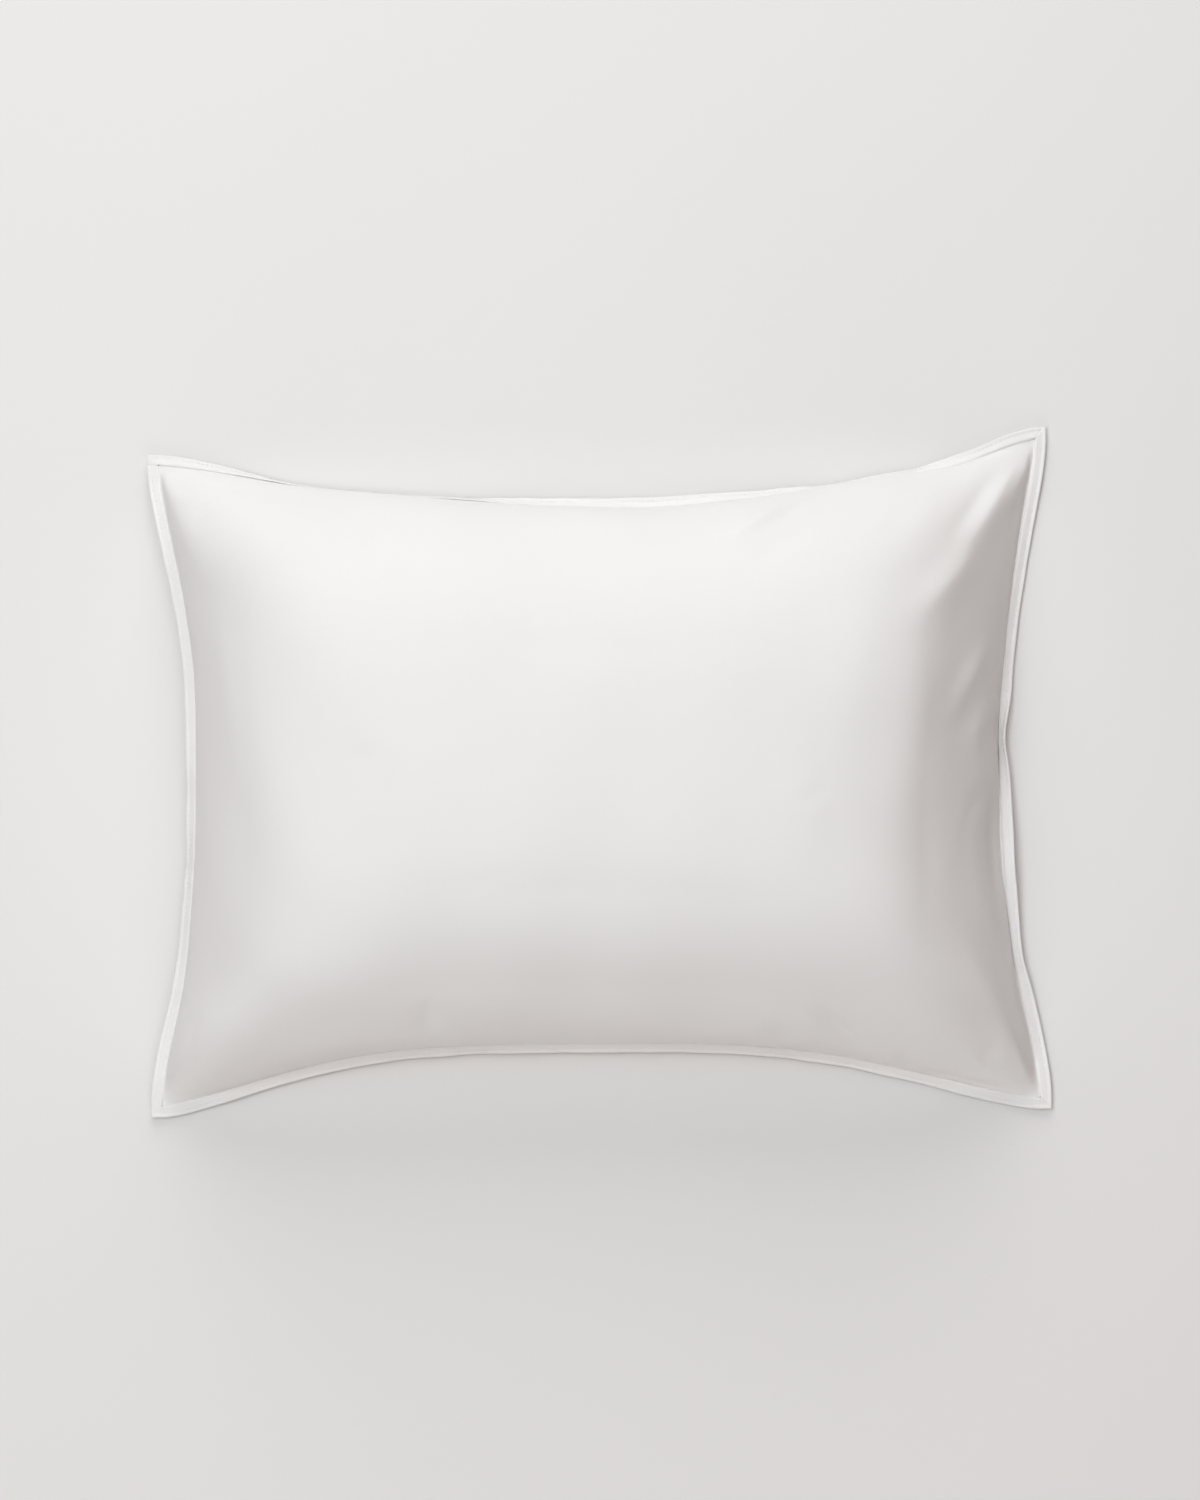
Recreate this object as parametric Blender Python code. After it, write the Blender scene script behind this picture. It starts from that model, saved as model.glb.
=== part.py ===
"""A filled pillowcase with a narrow flat band round its edge, lying on its back.

Two cloth panels meet in one seam and are filled tight, so the sides are drawn in between the
corners and the middle stands up in a crown. A folded strip is sewn round the seam as a flat band
with a mitred tip at each corner.

Metres, +Z up. X runs along the long sides and Y from the near long side to the far one. The origin
is on the surface that the case lies on, under the middle of the whole.
"""

import math
from typing import NamedTuple

import bmesh
import bpy
from mathutils import Vector

# ---------------------------------------------------------------- driving sizes
CROWN_HEIGHT = 0.153  # top of the crown above the surface
CROWN_DOME = 0.075  # share of the crown's height that is lost towards each side and each end
SAG_DEPTH = 0.020  # how far the filling would sag below the surface if nothing held it up
REST_BLEND = 0.003  # height over which the underside curls up from where it rests
BAND_WIDTH = 0.0075
BAND_GAP = 0.0003  # between the filled case and the band

CORNER_TURN = math.radians(30)  # a sharper turn of the seam is a corner, where the band is mitred

# Faces along a long side and along a short side, and how far they crowd towards the seam.
LONG_FACES = 50
SHORT_FACES = 38
CROWDING = 0.72


# ---------------------------------------------------------------- tables
class Corner(NamedTuple):
    """Where the seam turns, in metres, before the whole is centred."""

    x: float
    y: float
    z: float


CORNERS = {
    "near_left": Corner(-0.306, -0.246, 0.004),
    "near_right": Corner(0.308, -0.240, 0.004),
    "far_left": Corner(-0.3135, 0.2065, 0.006),
    "far_right": Corner(0.309, 0.226, 0.008),
}


class Side(NamedTuple):
    """One side of the seam, from its start corner to its end corner."""

    start: str
    end: str
    inward: tuple
    bow: float  # how far its middle is drawn in
    deepest: float  # where it is drawn in most, from -1 at the start to 1 at the end
    sharpness: float  # more gives the drawn-in curve a broader middle
    flare: float  # more sweeps the curve further out at its ends
    lift: float  # how far its middle stands above the line between its corners
    top_roundness: float  # 2 is an ellipse across the crown, and more is a squarer shoulder
    top_steepness: float  # how the filling rises from the seam: less is steeper beside it
    top_ledge: float  # how far the cloth lies flat beside the seam before it rises
    under_roundness: float
    under_steepness: float
    under_ledge: float


SIDES = {
    "near": Side(
        "near_left", "near_right", (0, 1), 0.0415, -0.05, 3.2, 1.60, 0.006,
        5.1, 0.64, 0.0040, 2.8, 0.45, 0.0010,
    ),
    "far": Side(
        "far_left", "far_right", (0, -1), 0.0440, 0.03, 2.25, 1.35, 0.014,
        4.1, 0.70, 0.0040, 2.8, 0.45, 0.0010,
    ),
    "left": Side(
        "near_left", "far_left", (1, 0), 0.0267, 0.06, 2.9, 1.86, 0.006,
        5.9, 0.75, 0.0040, 4.0, 0.45, 0.0010,
    ),
    "right": Side(
        "near_right", "far_right", (-1, 0), 0.0265, 0.02, 3.0, 1.88, 0.009,
        7.0, 1.20, 0.0028, 4.0, 0.45, 0.0010,
    ),
}


class Stretch(NamedTuple):
    """An uneven stretch of the seam. It fades out both ways from its middle."""

    side: str
    middle: float  # from -1 at the side's start to 1 at its end
    reach: float
    inward: float  # further drawn in
    curl: float  # degrees that the band turns up about the seam
    ledge: float  # how much further the cloth lies flat beside the seam


STRETCHES = (
    Stretch("near", -0.36, 0.44, 0.0000, -34.0, 0.0000),
    Stretch("near", 0.40, 0.44, 0.0000, -34.0, 0.0000),
    Stretch("left", 0.70, 0.22, -0.0027, 0.0, 0.0000),
    Stretch("left", -0.25, 0.40, -0.0005, -36.0, 0.0000),
    Stretch("left", -0.68, 0.20, 0.0043, 0.0, 0.0000),
    Stretch("right", 0.62, 0.28, -0.0041, 0.0, 0.0000),
    Stretch("right", 0.08, 0.13, 0.0017, 50.0, 0.0000),
    Stretch("right", -0.30, 0.15, 0.0000, -8.0, 0.0120),
    Stretch("right", -0.58, 0.11, 0.0025, 35.0, 0.0000),
    Stretch("far", -0.88, 0.14, -0.0030, 0.0, 0.0000),
    Stretch("far", -0.70, 0.24, 0.0000, -78.0, 0.0000),
    Stretch("far", -0.33, 0.24, -0.0060, -78.0, 0.0000),
    Stretch("far", 0.58, 0.26, 0.0000, -82.0, 0.0000),
    Stretch("far", 0.86, 0.16, 0.0195, 0.0, 0.0000),
)


class Fold(NamedTuple):
    """A soft ridge, or a trough where its height is below zero, on the upper panel."""

    start: tuple  # x, y
    end: tuple
    start_width: float
    end_width: float
    height: float
    strongest: float  # share of the way along it where it is highest
    left_share: float = 1.0  # how many times wider it is on its left than on its right


FOLDS = (
    # Pulls that fan out from the far right corner.
    Fold((0.307, 0.224), (0.216, 0.086), 0.006, 0.013, 0.0072, 0.38, 1.9),
    Fold((0.284, 0.166), (0.212, 0.080), 0.006, 0.012, 0.0022, 0.60, 1.5),
    Fold((0.284, 0.208), (0.238, 0.130), 0.004, 0.007, -0.0026, 0.55),
    # The top edge of the steep right side, and slack below it.
    Fold((0.232, 0.112), (0.212, -0.130), 0.018, 0.020, 0.0040, 0.30),
    Fold((0.270, 0.100), (0.216, 0.004), 0.006, 0.010, 0.0012, 0.50),
    Fold((0.272, 0.060), (0.232, -0.020), 0.006, 0.010, 0.0010, 0.45),
    # One short crease under the far seam.
    Fold((0.142, 0.176), (0.082, 0.136), 0.004, 0.006, 0.0022, 0.50),
    # The pull from the near right corner, and troughs beside the near seam.
    Fold((0.308, -0.239), (0.240, -0.116), 0.006, 0.015, 0.0046, 0.36, 1.2),
    Fold((0.190, -0.214), (0.138, -0.172), 0.004, 0.006, -0.0022, 0.50),
    Fold((-0.160, -0.196), (-0.096, -0.164), 0.010, 0.016, -0.0014, 0.50),
    # The pulls from the two left corners.
    Fold((-0.308, 0.200), (-0.262, 0.080), 0.006, 0.016, 0.0042, 0.40, 1.5),
    Fold((-0.306, -0.240), (-0.270, -0.176), 0.007, 0.014, 0.0030, 0.40),
)


class Station(NamedTuple):
    """A place across the band."""

    across: float  # share of the band's width, from the seam
    half_thickness: float


# The strip is thicker at both folded edges, and the stitching draws it thin between them.
BAND_STATIONS = (
    Station(0.00, 0.00080),
    Station(0.50, 0.00065),
    Station(0.85, 0.00105),
    Station(1.00, 0.00050),
)

# Colour, roughness
COTTON = ((0.90, 0.89, 0.87, 1.0), 0.80)


# ---------------------------------------------------------------- the seam
def fade(place, middle, reach):
    """1 in the middle of a stretch, and 0 far from it."""
    return math.exp(-(((place - middle) / reach) ** 2))


def uneven(side, place, column):
    """What the table of stretches adds at a place on a side."""
    return sum(
        getattr(row, column) * fade(place, row.middle, row.reach)
        for row in STRETCHES
        if row.side == side
    )


def seam_point(side, place):
    """A point of the seam. place runs from -1 at the side's start to 1 at its end."""
    row = SIDES[side]
    start, end = Vector(CORNERS[row.start]), Vector(CORNERS[row.end])
    skewed = (place - row.deepest) / (1 - row.deepest * place)
    bow = row.bow * (1 - abs(skewed) ** row.sharpness) ** row.flare
    nudge = uneven(side, place, "inward") * (1 - place**2)
    point = start.lerp(end, (place + 1) / 2)
    point += Vector((*row.inward, 0)) * (bow + nudge)
    point.z += row.lift * (1 - skewed**2)
    return point


def crowded(share):
    """Turns an even step from -1 to 1 into one that is finer towards both ends."""
    return (1 - CROWDING) * share + CROWDING * math.sin(math.pi / 2 * share)


def flat_sheet_point(u, v):
    """The sheet stretched across the seam, before the filling lifts it."""
    near, far = seam_point("near", u), seam_point("far", u)
    left, right = seam_point("left", v), seam_point("right", v)
    corners = {name: Vector(corner) for name, corner in CORNERS.items()}
    near_edge = corners["near_left"].lerp(corners["near_right"], (u + 1) / 2)
    far_edge = corners["far_left"].lerp(corners["far_right"], (u + 1) / 2)
    return (
        near.lerp(far, (v + 1) / 2)
        + left.lerp(right, (u + 1) / 2)
        - near_edge.lerp(far_edge, (v + 1) / 2)
    )


# ---------------------------------------------------------------- the filled case
def beside_seam(distance, ledge):
    """Distance in from the seam, as the filling feels it past the flat ledge."""
    return math.hypot(distance, ledge) - ledge


def fullness(u, v, face):
    """How full the case is on its "top" or "under" face, from 0 on the seam to 1 in the middle."""
    half_length = CORNERS["near_right"].x
    half_width = CORNERS["far_right"].y
    end, side = ("right" if u > 0 else "left"), ("far" if v > 0 else "near")
    end_ledge = (getattr(SIDES[end], face + "_ledge") + uneven(end, v, "ledge")) / half_length
    side_ledge = (getattr(SIDES[side], face + "_ledge") + uneven(side, u, "ledge")) / half_width
    along = 1 - beside_seam(1 - abs(u), end_ledge)
    across = 1 - beside_seam(1 - abs(v), side_ledge)
    rise_along = 1 - along ** getattr(SIDES[end], face + "_roundness")
    rise_across = 1 - across ** getattr(SIDES[side], face + "_roundness")
    rise_along **= getattr(SIDES[end], face + "_steepness")
    rise_across **= getattr(SIDES[side], face + "_steepness")
    return rise_along * rise_across


def upper_point(u, v):
    """A point of the upper panel."""
    point = flat_sheet_point(u, v)
    full = fullness(u, v, "top")
    dome = 1 - CROWN_DOME * (u**2 + v**2)
    point.z += (CROWN_HEIGHT - point.z) * full * dome
    return point


def under_point(u, v):
    """A point of the lower panel, flat at z = 0 where it rests."""
    point = flat_sheet_point(u, v)
    full = fullness(u, v, "under")
    hanging = point.z - (point.z + SAG_DEPTH) * full
    if hanging < -REST_BLEND:
        point.z = 0.0
    elif hanging < REST_BLEND:
        point.z = (hanging + REST_BLEND) ** 2 / (4 * REST_BLEND)
    else:
        point.z = hanging
    return point


def fold_height(point):
    """Height of all the folds at a point of the upper panel."""
    total = 0.0
    for fold in FOLDS:
        start, end = Vector(fold.start), Vector(fold.end)
        line = end - start
        reached = (point.xy - start).dot(line) / line.length_squared
        if 0 < reached < 1:
            off_line = point.xy - start.lerp(end, reached)
            width = fold.start_width + (fold.end_width - fold.start_width) * reached
            if line.cross(off_line) > 0:
                width *= fold.left_share
            rise = reached / fold.strongest
            fall = (1 - reached) / (1 - fold.strongest)
            swell = math.sin(math.pi / 2 * min(rise, fall)) ** 2
            total += fold.height * swell * math.exp(-((off_line.length / width) ** 2))
    return total


def add_panel(shape, place_point):
    """Adds one panel to a mesh, as a grid with every point moved to its place."""
    grid = bmesh.ops.create_grid(
        shape, x_segments=LONG_FACES, y_segments=SHORT_FACES, size=1.0
    )
    for vert in grid["verts"]:
        vert.co = place_point(crowded(vert.co.x), crowded(vert.co.y))
    return grid["verts"]


def raise_folds(shape, verts):
    """Moves the upper panel's inner points along their normals, by the height of the folds."""
    shape.normal_update()
    inner = [vert for vert in verts if not vert.is_boundary]
    moves = [vert.normal * fold_height(vert.co) for vert in inner]
    for vert, move in zip(inner, moves):
        vert.co += move


def filled_case_mesh():
    """Both panels joined along the seam, with the filling's shape, as one closed mesh."""
    shape = bmesh.new()
    upper = add_panel(shape, upper_point)
    raise_folds(shape, upper)
    add_panel(shape, under_point)
    bmesh.ops.remove_doubles(shape, verts=shape.verts, dist=BAND_GAP / 10)
    bmesh.ops.recalc_face_normals(shape, faces=shape.faces)
    resting = [f for f in shape.faces if all(vert.co.z == 0 for vert in f.verts)]
    bmesh.ops.dissolve_faces(shape, faces=resting, use_verts=True)
    mesh = bpy.data.meshes.new("filled_case")
    shape.to_mesh(mesh)
    shape.free()
    return mesh


# ---------------------------------------------------------------- the band
class SeamStep(NamedTuple):
    """A point of the seam with the way out from it, level with the surface."""

    point: Vector
    outward: Vector
    curl: float


def side_steps(side, faces, backwards):
    """The seam's steps along one side, leaving out its last corner."""
    places = [crowded(-1 + 2 * step / faces) for step in range(faces + 1)]
    if backwards:
        places.reverse()
    points = [seam_point(side, place) for place in places]
    steps = []
    for before, here, after, place in zip(points, points[1:], points[2:], places[1:]):
        along = after - before
        outward = Vector((along.y, -along.x, 0)).normalized()
        steps.append(SeamStep(here, outward, math.radians(uneven(side, place, "curl"))))
    first = points[1] - points[0]
    corner_way = Vector((first.y, -first.x, 0)).normalized()
    return [SeamStep(points[0], corner_way, 0.0), *steps]


def seam_steps():
    """Every step of the seam, anticlockwise, with a mitred way out at each corner."""
    walk = (
        ("near", LONG_FACES, False),
        ("right", SHORT_FACES, False),
        ("far", LONG_FACES, True),
        ("left", SHORT_FACES, True),
    )
    steps = [step for side in walk for step in side_steps(*side)]
    for index, step in enumerate(steps):
        before = steps[index - 1]
        turn = step.outward.angle(before.outward)
        if turn > CORNER_TURN:
            bisector = (step.outward + before.outward).normalized()
            steps[index] = step._replace(outward=bisector / math.cos(turn / 2))
    return steps


def band_section(step):
    """The band's outline across the seam at one step: its upper face out, then its under face back."""
    along = step.outward * math.cos(step.curl) + Vector((0, 0, math.sin(step.curl)))
    face = Vector((0, 0, math.cos(step.curl))) - step.outward * math.sin(step.curl)
    lean = BAND_STATIONS[0].half_thickness * abs(math.sin(step.curl))
    root = step.point + step.outward * (BAND_GAP + lean)
    upper, under = [], []
    for station in BAND_STATIONS:
        centre = root + along * (station.across * BAND_WIDTH)
        upper.append(centre + face * station.half_thickness)
        under.append(centre - face * station.half_thickness)
    return upper + under[::-1]


def edge_band_mesh():
    """The band as a ring: a torus with each of its sections moved to a step of the seam."""
    sections = [band_section(step) for step in seam_steps()]
    bpy.ops.mesh.primitive_torus_add(
        major_segments=len(sections), minor_segments=len(sections[0])
    )
    ring = bpy.context.object
    mesh = ring.data
    bpy.data.objects.remove(ring)
    points = [point for section in sections for point in section]
    for vert, point in zip(mesh.vertices, points):
        vert.co = point
    shape = bmesh.new()
    shape.from_mesh(mesh)
    bmesh.ops.recalc_face_normals(shape, faces=shape.faces)
    shape.to_mesh(mesh)
    shape.free()
    return mesh


# ---------------------------------------------------------------- putting it together
def cotton(name):
    """A plain cotton finish."""
    material = bpy.data.materials.new(name)
    material.use_nodes = True
    surface = material.node_tree.nodes["Principled BSDF"]
    colour, roughness = COTTON
    surface.inputs["Base Color"].default_value = colour
    surface.inputs["Roughness"].default_value = roughness
    surface.inputs["Metallic"].default_value = 0.0
    return material


def add_piece(name, mesh, collection):
    """One named object with its own finish and smooth shading."""
    mesh.name = name
    mesh.shade_smooth()
    mesh.materials.clear()
    mesh.materials.append(cotton(name + "_cotton"))
    piece = bpy.data.objects.new(name, mesh)
    collection.objects.link(piece)
    return piece


def centre_on_origin(pieces):
    """Shifts the meshes level, so that the middle of their common box stands over the origin."""
    points = [vert.co for piece in pieces for vert in piece.data.vertices]
    middle_x = (min(p.x for p in points) + max(p.x for p in points)) / 2
    middle_y = (min(p.y for p in points) + max(p.y for p in points)) / 2
    for piece in pieces:
        for vert in piece.data.vertices:
            vert.co -= Vector((middle_x, middle_y, 0))


def main():
    for thing in list(bpy.data.objects):
        bpy.data.objects.remove(thing)
    collection = bpy.data.collections.new("pillowcase")
    bpy.context.scene.collection.children.link(collection)
    case = add_piece("filled_case", filled_case_mesh(), collection)
    band = add_piece("edge_band", edge_band_mesh(), collection)
    centre_on_origin([case, band])


main()
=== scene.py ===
"""A filled white pillowcase with a narrow flat band sewn round its edge, lying on its back.

Metres, +Z up. X runs along the long sides and Y from the near long side to the far one. The tables
of the seam hold nearly the same numbers as the part's source, from before it is centred on its box.
"""

import logging
import math
from dataclasses import dataclass
from enum import Enum
from typing import Sequence

import bmesh
import bpy
import numpy as np
from bpy.types import Material, Mesh, Node, NodeSocket, Object, bpy_prop_collection
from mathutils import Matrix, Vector
from numpy import ndarray


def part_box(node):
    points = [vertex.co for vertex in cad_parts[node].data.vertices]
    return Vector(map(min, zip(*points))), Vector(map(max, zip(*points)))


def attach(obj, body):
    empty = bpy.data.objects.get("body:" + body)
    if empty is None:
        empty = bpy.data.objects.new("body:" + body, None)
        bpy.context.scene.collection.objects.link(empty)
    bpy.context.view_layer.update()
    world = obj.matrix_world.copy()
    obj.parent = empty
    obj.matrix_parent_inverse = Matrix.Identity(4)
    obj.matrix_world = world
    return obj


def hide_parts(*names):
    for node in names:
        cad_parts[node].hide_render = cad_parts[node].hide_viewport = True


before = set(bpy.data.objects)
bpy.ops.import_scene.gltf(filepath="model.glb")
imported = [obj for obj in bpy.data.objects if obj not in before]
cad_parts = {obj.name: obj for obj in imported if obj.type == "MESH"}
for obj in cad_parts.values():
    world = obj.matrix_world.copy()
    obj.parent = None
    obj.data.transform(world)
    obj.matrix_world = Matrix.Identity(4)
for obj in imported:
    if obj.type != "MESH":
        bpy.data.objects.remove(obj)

log = logging.getLogger("pillowcase")

Triple = tuple[float, float, float]

BODY = "root"
UP = np.array((0.0, 0.0, 1.0))


# ---------------------------------------------------------------- small tools
def pick_only(*things: Object) -> None:
    """Leave object mode ready with these things selected and the first one active.

    Args:
        things: The objects to select. With none, everything is deselected.
    """
    if bpy.context.object is not None and bpy.context.object.mode != "OBJECT":
        bpy.ops.object.mode_set(mode="OBJECT")
    bpy.ops.object.select_all(action="DESELECT")
    for thing in things:
        thing.select_set(True)
    bpy.context.view_layer.objects.active = things[0] if things else None


def face_outwards(piece: Object, merge: float = 0.0) -> None:
    """Turn the faces of a closed piece outwards.

    Args:
        piece: The piece, which is left selected.
        merge: Metres within which its points are first made one.
    """
    pick_only(piece)
    bpy.ops.object.mode_set(mode="EDIT")
    bpy.ops.mesh.select_all(action="SELECT")
    if merge:
        bpy.ops.mesh.remove_doubles(threshold=merge)
    bpy.ops.mesh.normals_make_consistent(inside=False)
    bpy.ops.object.mode_set(mode="OBJECT")


def read_rows(items: bpy_prop_collection, name: str, columns: int, kind: type = float) -> ndarray:
    """Read one property of all the points, edges or corners of a mesh.

    Args:
        items: The points, edges or corners.
        name: The property.
        columns: Numbers that it has for each item.
        kind: What the numbers are.

    Returns:
        One row for each item.
    """
    flat = np.empty(len(items) * columns, dtype=kind)
    items.foreach_get(name, flat)
    return flat.reshape(-1, columns)


def read_points(mesh: Mesh) -> ndarray:
    """Read the x, y and z of each point of a mesh."""
    return read_rows(mesh.vertices, "co", 3)


def write_points(mesh: Mesh, points: ndarray) -> None:
    """Move each point of a mesh to a row's x, y and z."""
    mesh.vertices.foreach_set("co", np.ascontiguousarray(points, dtype=float).ravel())
    mesh.update()


def read_mark(mesh: Mesh, name: str) -> ndarray:
    """Read a number that was kept on each point."""
    return read_rows(mesh.attributes[name].data, "value", 1)[:, 0]


def write_mark(mesh: Mesh, name: str, values: ndarray, domain: str = "POINT") -> None:
    """Keep a number on each point, or on each edge."""
    mark = mesh.attributes.new(name, "FLOAT", domain)
    mark.data.foreach_set("value", np.ascontiguousarray(values, dtype=np.float32))


def length_of(rows: ndarray) -> ndarray:
    """Lengths of the rows of an array, kept as a last column."""
    return np.linalg.norm(rows, axis=-1, keepdims=True)


def fade(distance: ndarray, reach: float) -> ndarray:
    """A soft bump: 1 where the distance is 0, and mostly gone past the reach."""
    return np.exp(-((distance / reach) ** 2))


@dataclass(frozen=True)
class Unevenness:
    """A soft random waviness, the same on each run."""

    wavelength: float  # Metres from one swell to the next.
    height: float  # Metres.
    seed: int  # Picks one pattern.
    waves: int = 14  # How many plain waves are added up.
    # The shortest and the longest wave, as shares of the wavelength.
    spread: tuple[float, float] = (0.7, 1.6)

    def at(self, points: ndarray) -> ndarray:
        """Work out the waviness.

        Args:
            points: One row for each place, with any number of columns, in metres.

        Returns:
            The height at each place.
        """
        random = np.random.default_rng(self.seed)
        ways = random.normal(size=(self.waves, points.shape[-1]))
        ways /= length_of(ways)
        pitches = self.wavelength * random.uniform(*self.spread, self.waves)
        phases = random.uniform(0, 2 * np.pi, self.waves)
        swing = np.sin(points @ ways.T * (2 * np.pi / pitches) + phases)
        return self.height * swing.sum(-1) / math.sqrt(self.waves / 2)


# ---------------------------------------------------------------- the seam
class Edge(Enum):
    """The four sides of the case."""

    NEAR = "near"
    RIGHT = "right"
    FAR = "far"
    LEFT = "left"


class Tip(Enum):
    """The four corners of the case."""

    NEAR_LEFT = "near left"
    NEAR_RIGHT = "near right"
    FAR_RIGHT = "far right"
    FAR_LEFT = "far left"


@dataclass(frozen=True)
class Slope:
    """How the filling rises from one side of the seam."""

    roundness: float  # 2 is an ellipse across the crown, and more is a squarer shoulder.
    steepness: float  # Less is steeper beside the seam.
    ledge: float  # How far the cloth lies flat beside the seam before it rises.


@dataclass(frozen=True)
class SeamSide:
    """One side of the seam, from its start corner to its end corner."""

    start: Tip  # The corner that it starts from.
    end: Tip  # The corner that it runs to.
    inward: tuple[float, float]  # Way in towards the middle of the case.
    bow: float  # How far its middle is drawn in.
    deepest: float  # Where it is drawn in most, from -1 at the start to 1 at the end.
    sharpness: float  # More gives the drawn-in curve a broader middle.
    flare: float  # More sweeps the curve further out at its ends.
    lift: float  # How far its middle stands above the line between its corners.
    top: Slope  # How the upper cloth rises from it.
    under: Slope  # How the lower cloth falls from it.


@dataclass(frozen=True)
class SeamStretch:
    """An uneven stretch of the seam, which fades out both ways from its middle."""

    edge: Edge  # The side that it is on.
    middle: float  # From -1 at the side's start to 1 at its end.
    reach: float  # How far it spreads, on the same scale.
    inward: float = 0.0  # How much further the seam is drawn in.
    curl: float = 0.0  # Degrees that the band turns up about the seam.
    ledge: float = 0.0  # How much further the cloth lies flat beside the seam.
    raised: float = 0.0  # How much further the seam stands up.


@dataclass(frozen=True)
class Seam:
    """The line where the two panels meet, and the sheet stretched across it."""

    corners: dict[Tip, Triple]  # Place of each corner, before the whole is centred.
    sides: dict[Edge, SeamSide]  # The four sides.
    stretches: tuple[SeamStretch, ...]  # Where the sides are uneven.
    shift: Triple  # How far the whole moves to be centred on its box.
    # Metres from a corner to the close steps beside it.
    beside_corner: tuple[float, ...] = (0.0, 0.0003, 0.0007, 0.0012)
    first_even: float = 0.0018  # Metres from a corner to the first of the even steps.

    def uneven(self, edge: Edge, places: ndarray, column: str) -> ndarray:
        """Add up what the uneven stretches give.

        Args:
            edge: The side.
            places: From -1 at its start to 1 at its end.
            column: Name of the number to add up.

        Returns:
            The sum at each place.
        """
        total = np.zeros(np.shape(places))
        for row in self.stretches:
            if row.edge is edge:
                total += getattr(row, column) * fade(places - row.middle, row.reach)
        return total

    def between(self, start: Tip, end: Tip, share: ndarray) -> ndarray:
        """Points on the straight line between two corners, before the whole is centred."""
        return np.array(self.corners[start]) * (1 - share) + np.array(self.corners[end]) * share

    def point(self, edge: Edge, places: ndarray) -> ndarray:
        """Find points of the seam, before the whole is centred.

        Args:
            edge: The side.
            places: From -1 at its start to 1 at its end.

        Returns:
            One row of x, y and z for each place.
        """
        side, clear = self.sides[edge], 1 - places**2
        skewed = (places - side.deepest) / (1 - side.deepest * places)
        drawn = np.clip(1 - np.abs(skewed) ** side.sharpness, 0, None) ** side.flare * side.bow
        drawn = drawn + self.uneven(edge, places, "inward") * clear
        points = self.between(side.start, side.end, ((places + 1) / 2)[..., None])
        points[..., :2] += np.array(side.inward) * drawn[..., None]
        points[..., 2] += side.lift * (1 - skewed**2) + self.uneven(edge, places, "raised") * clear
        return points

    def sheet(self, u: ndarray, v: ndarray) -> ndarray:
        """Find points of the sheet stretched across the seam, before the filling lifts it.

        Args:
            u: From -1 on the left side to 1 on the right.
            v: From -1 on the near side to 1 on the far one.

        Returns:
            One row of x, y and z for each pair.
        """
        along, across = ((u + 1) / 2)[..., None], ((v + 1) / 2)[..., None]
        return (
            self.point(Edge.NEAR, u) * (1 - across)
            + self.point(Edge.FAR, u) * across
            + self.point(Edge.LEFT, v) * (1 - along)
            + self.point(Edge.RIGHT, v) * along
            - self.between(Tip.NEAR_LEFT, Tip.NEAR_RIGHT, along) * (1 - across)
            - self.between(Tip.FAR_LEFT, Tip.FAR_RIGHT, along) * across
        )

    def runs(self, spacing: float) -> list["SeamRun"]:
        """Step along the four sides, once round anticlockwise from the near left corner."""
        rounds = ((Edge.NEAR, 1), (Edge.RIGHT, 1), (Edge.FAR, -1), (Edge.LEFT, -1))
        return [self._run(edge, way, spacing) for edge, way in rounds]

    def _run(self, edge: Edge, way: int, spacing: float) -> "SeamRun":
        """Even steps along one side, closer together beside its corners.

        Args:
            edge: The side.
            way: 1 from its start to its end, or -1 back.
            spacing: Metres between steps.

        Returns:
            The side's steps.
        """
        fine_steps, nudge = 6001, 2e-4 * way
        fine = np.linspace(-1, 1, fine_steps) * way
        line = self.point(edge, fine)
        reached = np.concatenate([[0], np.cumsum(length_of(np.diff(line, axis=0))[:, 0])])
        total, close = reached[-1], np.array(self.beside_corner)
        even_steps = max(2, round((total - 2 * self.first_even) / spacing))
        middle = np.linspace(self.first_even, total - self.first_even, even_steps)
        distance = np.concatenate([close, middle, total - close[::-1]])
        places = np.interp(distance, reached, fine)
        beside = [np.clip(places + step, -1, 1) for step in (nudge, -nudge)]
        ahead, behind = (self.point(edge, place) for place in beside)
        along = ahead - behind
        outward = np.stack([along[:, 1], -along[:, 0], np.zeros(len(along))], -1)
        curl = np.radians(self.uneven(edge, places, "curl"))
        return SeamRun(self.point(edge, places), outward / length_of(outward), curl, distance)


@dataclass(frozen=True)
class SeamRun:
    """Steps along one side of the seam, anticlockwise."""

    points: ndarray  # Points of the seam, before the whole is centred.
    outward: ndarray  # Level unit ways out.
    curl: ndarray  # Radians that the band turns up.
    distance: ndarray  # Metres from the side's first corner.

    def at(self, distance: ndarray) -> "SeamRun":
        """Find places along the side, or on its straight line past either corner.

        Args:
            distance: Metres from the side's first corner.

        Returns:
            Steps at those places.
        """
        inside = np.clip(distance, 0, self.distance[-1])
        points, outward = (
            np.stack([np.interp(inside, self.distance, rows[:, axis]) for axis in range(3)], -1)
            for rows in (self.points, self.outward)
        )
        outward /= length_of(outward)
        points = points + along_from(outward) * (distance - inside)[:, None]
        return SeamRun(points, outward, np.interp(inside, self.distance, self.curl), distance)


def along_from(outward: ndarray) -> ndarray:
    """Ways along the seam, anticlockwise, from the level ways out of it."""
    return np.stack([-outward[:, 1], outward[:, 0], outward[:, 2]], -1)


def half_turn(before: SeamRun, after: SeamRun) -> float:
    """Half of the radians that the seam turns through from one side to the next."""
    return math.acos(float(np.clip(before.outward[-1] @ after.outward[0], -1, 1))) / 2


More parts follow.
